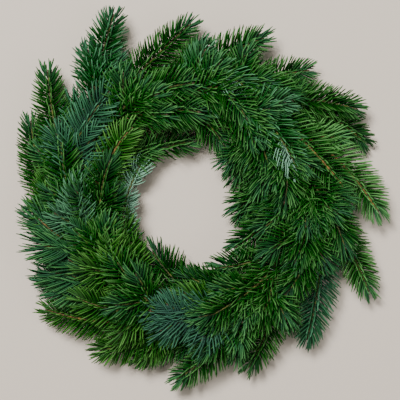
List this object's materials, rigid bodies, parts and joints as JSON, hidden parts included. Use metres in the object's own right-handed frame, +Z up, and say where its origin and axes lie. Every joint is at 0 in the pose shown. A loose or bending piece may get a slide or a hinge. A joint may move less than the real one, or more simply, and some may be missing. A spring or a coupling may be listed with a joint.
{
  "type": "advent wreath",
  "caption": "Round wreath of overlapping fir sprays that whirl clockwise, bound with wire on a straw ring, with a clear round hole in the middle.",
  "frame": {"origin": "middle of the wreath's outline seen from above, on the surface that it lies on", "axes": "+Z up out of the surface; +Y towards the top of the picture, +X to its right"},
  "size_m": [0.3938, 0.405, 0.0738],
  "materials": {
    "straw": "bound rye straw, pale gold, satin",
    "wire": "dark green lacquered florist's wire",
    "fir_green": "mid green fir needles on an olive twig",
    "fir_dark": "dark green fir needles on an olive twig",
    "fir_blue": "blue-green fir needles on a brown twig",
    "fir_yellow": "yellow-green fir needles on an orange-brown twig",
    "fir_pale": "pale glaucous fir needles on an olive twig"
  },
  "bodies": {
    "root": {"straw_ring": "straw", "binding_wire": "wire", "outer_spray_01": "fir_blue", "outer_spray_02": "fir_green", "outer_spray_03": "fir_green", "outer_spray_04": "fir_green", "outer_spray_05": "fir_dark", "outer_spray_06": "fir_dark", "outer_spray_07": "fir_green", "outer_spray_08": "fir_green", "outer_spray_09": "fir_blue", "outer_spray_10": "fir_dark", "outer_spray_11": "fir_green", "outer_spray_12": "fir_green", "outer_spray_13": "fir_yellow", "outer_spray_14": "fir_yellow", "outer_spray_15": "fir_blue", "outer_spray_16": "fir_green", "outer_spray_17": "fir_green", "outer_spray_18": "fir_green", "outer_spray_19": "fir_yellow", "inner_spray_01": "fir_pale", "inner_spray_02": "fir_yellow", "inner_spray_03": "fir_dark", "inner_spray_04": "fir_dark", "inner_spray_05": "fir_green", "inner_spray_06": "fir_green", "inner_spray_07": "fir_green", "inner_spray_08": "fir_green", "inner_spray_09": "fir_green", "inner_spray_10": "fir_green", "inner_spray_11": "fir_dark", "inner_spray_12": "fir_yellow", "inner_spray_13": "fir_green", "inner_spray_14": "fir_yellow", "inner_spray_15": "fir_green", "top_spray_01": "fir_blue", "top_spray_02": "fir_green", "top_spray_03": "fir_pale", "top_spray_04": "fir_green", "top_spray_05": "fir_green", "top_spray_06": "fir_pale", "top_spray_07": "fir_green", "top_spray_08": "fir_green", "top_spray_09": "fir_green", "top_spray_10": "fir_green", "top_spray_11": "fir_green", "top_spray_12": "fir_green", "top_spray_13": "fir_green", "top_spray_14": "fir_blue", "top_spray_15": "fir_yellow", "top_spray_16": "fir_green", "top_spray_17": "fir_yellow", "top_spray_18": "fir_pale", "top_spray_19": "fir_green", "top_spray_20": "fir_green", "top_spray_21": "fir_green", "top_spray_22": "fir_green", "top_spray_23": "fir_green"}
  },
  "joints": []
}
